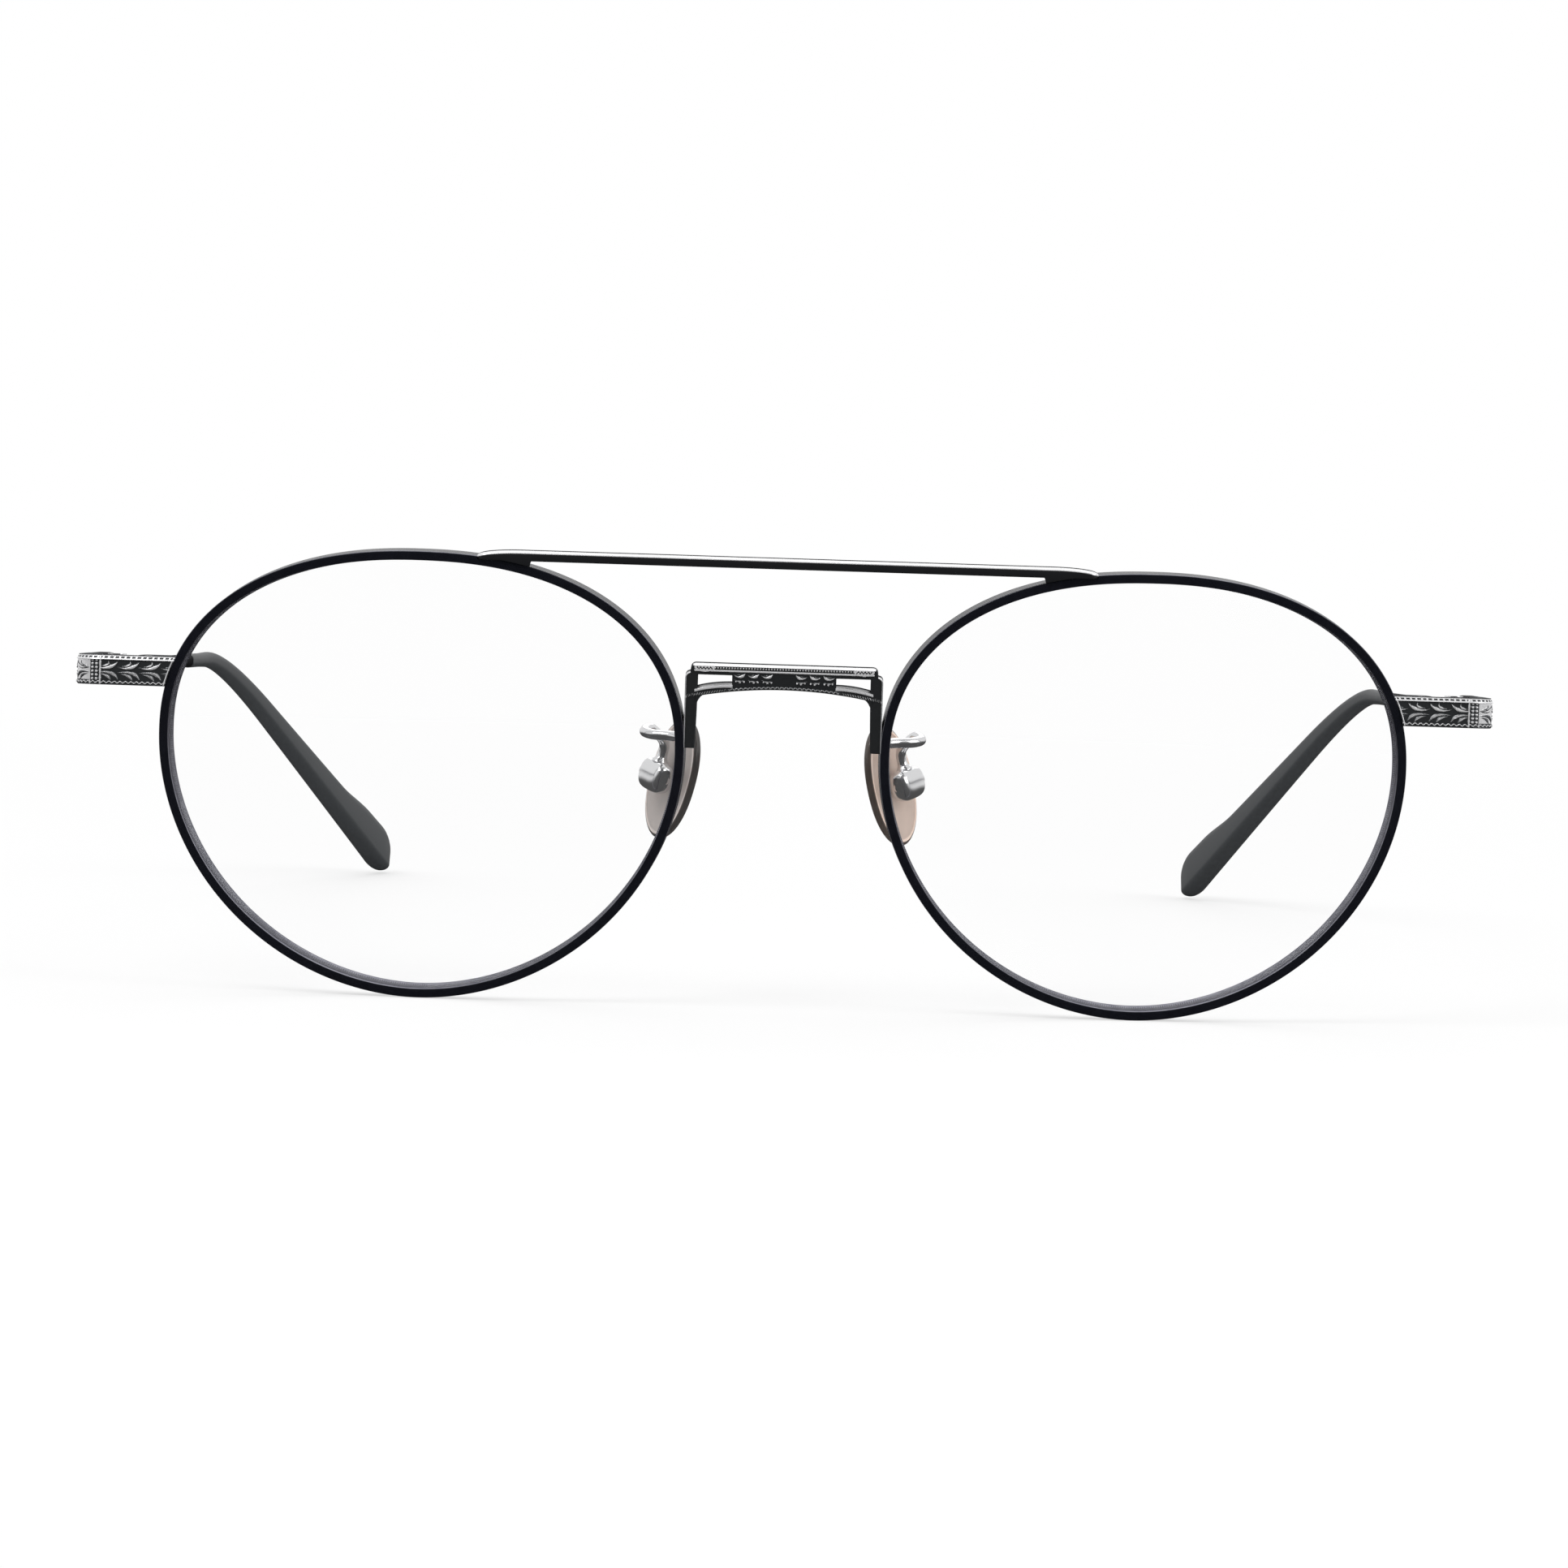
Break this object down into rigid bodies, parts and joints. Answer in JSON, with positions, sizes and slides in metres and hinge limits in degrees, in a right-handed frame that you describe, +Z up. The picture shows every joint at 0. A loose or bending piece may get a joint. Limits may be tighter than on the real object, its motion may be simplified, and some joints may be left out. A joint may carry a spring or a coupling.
{
  "type": "eyeglasses",
  "caption": "Oval metal eyeglasses with a straight top bar, an engraved bridge and engraved endpieces, black rims, adjustable nose pads and folding temples with dull black tips",
  "frame": {"origin": "on the surface that the rims and the temple tips rest on, under the middle of the frame's box", "axes": "+X is the wearer's left, -Y is the side that faces forward, +Z is up; the temples are open"},
  "size_m": [0.1364, 0.1506, 0.0435],
  "materials": {
    "lacquer": "black lacquer with bare bevelled edges",
    "gunmetal": "darkened metal, engraved, with bright worn edges",
    "silver": "polished silver-coloured metal",
    "lens": "clear, polished",
    "pad": "smooth, pale grey",
    "tip": "dull black"
  },
  "bodies": {
    "front": {"rim_left": "lacquer", "rim_right": "lacquer", "lens_left": "lens", "lens_right": "lens", "top_bar": "gunmetal", "bridge": "gunmetal", "endpiece_left": "gunmetal", "endpiece_right": "gunmetal", "upper_block_left": "silver", "upper_block_right": "silver", "lower_block_left": "silver", "lower_block_right": "silver", "closing_screw_left": "silver", "closing_screw_right": "silver", "front_hinge_left": "silver", "front_hinge_right": "silver", "hinge_screw_left": "silver", "hinge_screw_right": "silver", "pad_arm_left": "silver", "pad_arm_right": "silver", "pad_box_left": "silver", "pad_box_right": "silver", "pad_screw_left": "silver", "pad_screw_right": "silver"},
    "temple_left": {"temple_hinge_left": "silver", "temple_left": "gunmetal", "tip_left": "tip"},
    "temple_right": {"temple_hinge_right": "silver", "temple_right": "gunmetal", "tip_right": "tip"},
    "pad_left": {"nose_pad_left": "pad"},
    "pad_right": {"nose_pad_right": "pad"}
  },
  "joints": [
    {"name": "temple_left_fold", "type": "hinge", "parent": "front", "child": "temple_left", "pos_m": [0.06525, -0.06064, 0.03033], "axis": [0, 0.0349, 0.9994], "range_deg": [0, 85]},
    {"name": "temple_right_fold", "type": "hinge", "parent": "front", "child": "temple_right", "pos_m": [-0.06525, -0.06064, 0.03033], "axis": [0, -0.0349, -0.9994], "range_deg": [0, 79]},
    {"name": "pad_left_rock", "type": "hinge", "parent": "front", "child": "pad_left", "pos_m": [0.0122, -0.06461, 0.02176], "axis": [0.5565, 0.8028, 0.2138], "range_deg": [-8, 8]},
    {"name": "pad_right_rock", "type": "hinge", "parent": "front", "child": "pad_right", "pos_m": [-0.0122, -0.06461, 0.02176], "axis": [-0.5565, 0.8028, 0.2138], "range_deg": [-8, 8]}
  ]
}
